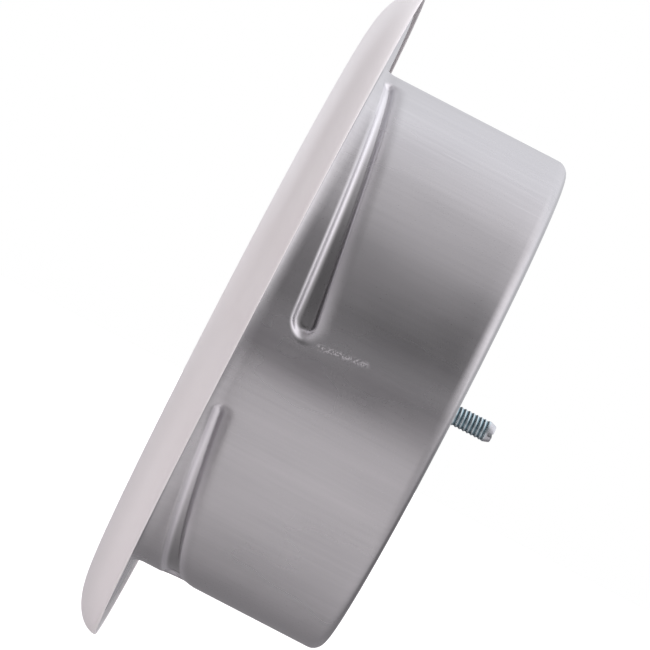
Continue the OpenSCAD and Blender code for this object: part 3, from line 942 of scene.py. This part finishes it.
@dataclass(frozen=True)
class Sky:
    """Soft surroundings that the metal mirrors.

    Three belts lie in front of the valve, beside it and behind it. Each has its levels by the angle
    in degrees up from the camera's side and over the top.
    """

    front: tuple[Point, ...] = ((0, 1.15), (20, 1.2), (60, 0.45), (80, 0.15), (140, 0.15), (160, 1.4))
    beside: tuple[Point, ...] = ((0, 0.6), (14, 0.12), (40, 0.12), (60, 0.88), (100, 1.25), (120, 1.45), (140, 1.4), (170, 0.8))
    rear: tuple[Point, ...] = ((0, 0.9), (20, 1.15), (60, 1.9), (100, 1.9), (130, 1.7), (180, 1.4))
    highest: float = 2.0
    belt_reach: float = 0.8
    near_tint: Colour = (1.0, 0.97, 1.0)
    far_tint: Colour = (0.985, 0.985, 1.03)

    def belt(self, g: Graph, angle: bpy.types.NodeSocket, levels: Sequence[Point]) -> bpy.types.NodeSocket:
        """Level of one belt at an angle given as a share of the half turn."""
        ramp = g.add("ValToRGB", {"Fac": angle})
        stops = ramp.color_ramp.elements
        stops.remove(stops[1])
        for where, level in levels:
            stop = stops[0] if (where, level) == levels[0] else stops.new(where / 180)
            stop.position = where / 180
            stop.color = (*(level / self.highest,) * 3, 1)
        return g.maths("MULTIPLY", ramp.outputs[0], self.highest)

    def build(self, g: Graph) -> tuple[bpy.types.NodeSocket, bpy.types.NodeSocket]:
        """Adds the sky's nodes.

        Args:
            g: The world's graph.

        Returns:
            The level and the tint.
        """
        way = g.add("TexCoord").outputs["Generated"]
        x, y, z = g.add("SeparateXYZ", {0: way}).outputs
        up = g.maths("ABSOLUTE", z)
        angle = g.maths("DIVIDE", g.maths("ARCTAN2", up, x), math.pi)
        aside = g.maths("DIVIDE", y, self.belt_reach)
        rear = g.maths("MINIMUM", g.maths("MAXIMUM", aside, 0.0), 1.0)
        front = g.maths("MINIMUM", g.maths("MAXIMUM", g.maths("MULTIPLY", aside, -1.0), 0.0), 1.0)
        beside = g.maths("SUBTRACT", 1.0, g.maths("ADD", rear, front))
        level = g.maths("MULTIPLY", beside, self.belt(g, angle, self.beside))
        level = g.maths("MULTIPLY_ADD", rear, self.belt(g, angle, self.rear), level)
        level = g.maths("MULTIPLY_ADD", front, self.belt(g, angle, self.front), level)
        tint = g.blend(g.ramp(x, -0.7, 0.2), (*self.far_tint, 1), (*self.near_tint, 1))
        return level, tint


@dataclass
class Studio:
    """Camera, lamps, floor and surroundings of the photograph."""

    sky: Sky = field(default_factory=Sky)
    roll: float = 27.4
    place: tuple[float, float, float] = (0.6866, 0.0138, 0.0046)
    focal: float = 3015.0
    frame_width: int = 650
    floor_height: float = -0.125
    floor_glow: float = 0.22
    floor_white: float = 0.46
    dark_ahead: Point = (0.28, 0.6)
    dark_behind: Point = (0.07, -0.09)
    dark_rear: Point = (0.03, 0.3)
    rear_shade: float = 0.6

    def camera(self) -> None:
        """Adds the camera at the photograph's viewing angle."""
        data = bpy.data.cameras.new("camera")
        data.sensor_width = 36.0
        data.lens = data.sensor_width * self.focal / self.frame_width
        cam = bpy.data.objects.new("camera", data)
        bpy.context.scene.collection.objects.link(cam)
        a = math.radians(self.roll)
        right, up, back = (0, math.cos(a), math.sin(a)), (0, -math.sin(a), math.cos(a)), (1, 0, 0)
        turn = Matrix((right, up, back)).transposed().to_4x4()
        cam.matrix_world = Matrix.Translation(self.place) @ turn
        bpy.context.scene.camera = cam

    def world(self) -> None:
        """White surroundings for the camera, and the sky for the rest."""
        world = bpy.data.worlds.new("surroundings")
        bpy.context.scene.world = world
        world.use_nodes = True
        world.node_tree.nodes.clear()
        g = Graph(world.node_tree)
        seen = g.add("LightPath").outputs["Is Camera Ray"]
        level, tint = self.sky.build(g)
        colour = g.blend(seen, tint, (1, 1, 1, 1))
        strength = g.add("Mix", {0: seen, 2: level, 3: 1.0}, data_type="FLOAT").outputs[0]
        light = g.add("Background", {"Color": colour, "Strength": strength})
        g.add("OutputWorld", {"Surface": light.outputs[0]})

    def floor(self) -> None:
        """Adds the pale floor."""
        bpy.ops.object.select_all(action="DESELECT")
        bpy.ops.mesh.primitive_plane_add(size=6, location=(0, 0, self.floor_height))
        floor = bpy.context.object
        floor.name = "floor"
        g, shader, material = start_material("white_floor")
        place = g.add("SeparateXYZ", {0: g.add("TexCoord").outputs["Object"]}).outputs
        path = g.add("LightPath").outputs
        shade = g.maths("MAXIMUM", g.ramp(place["X"], *self.dark_ahead), g.ramp(place["X"], *self.dark_behind))
        shade = g.maths("MAXIMUM", shade, g.ramp(place["Y"], *self.dark_rear, 0.0, self.rear_shade))
        mirrored = g.maths("MULTIPLY", shade, path["Is Glossy Ray"])
        g.feed(shader, "Base Color", g.blend(mirrored, (0.83, 0.80, 0.80, 1), (0.25, 0.24, 0.245, 1)))
        glow = g.maths("MULTIPLY", g.maths("SUBTRACT", path["Is Glossy Ray"], mirrored), self.floor_glow)
        white = g.maths("MULTIPLY_ADD", path["Is Camera Ray"], self.floor_white, glow)
        g.feed(shader, "Emission Strength", white)
        floor.data.materials.append(material)

    def lamp(self, name: str, place: Sequence[float], size: float, power: float, colour: Colour) -> None:
        """Adds a soft lamp that shines on the object."""
        data = bpy.data.lights.new(name, "AREA")
        data.shape, data.size, data.energy, data.color = "SQUARE", size, power, colour
        lamp = bpy.data.objects.new(name, data)
        bpy.context.scene.collection.objects.link(lamp)
        aim = Vector((0, 0.01, 0)) - Vector(place)
        lamp.rotation_euler = aim.to_track_quat("-Z", "Y").to_euler()
        lamp.location = place

    def build(self) -> None:
        """Builds the whole studio."""
        bpy.context.scene.view_settings.view_transform = "Standard"
        self.camera()
        self.world()
        self.floor()
        self.lamp("overhead", (-0.25, 0.1, 1.1), 0.9, 0.6, (0.97, 0.97, 1.0))
        self.lamp("front", (0.35, -1.0, 0.55), 0.8, 1.2, (1.0, 0.99, 0.99))


def main() -> None:
    """Builds the studio and every piece in order."""
    Studio().build()
    palette = Palette.build()
    Collar().build(palette)
    Ring().build(palette)
    Gasket().build(palette)
    Disc().build(palette)
    Spindle().build(palette)
    HexNut("lock_nut_hex", 21.0, 4.0, Body.VALVE, "lock_nut").build(palette)
    HexNut("hub_nut_hex", 4.6, 2.7, Body.DISC, "hub_nut").build(palette)
    dressed("bridge", palette.sheet)
    dressed("bridge_rivets", palette.rivet)
    dressed("bridge_bush", palette.plated)
    dressed("lock_washer", palette.plated)
    dressed("disc_hub", palette.plated)


if __name__ == "__main__":
    main()
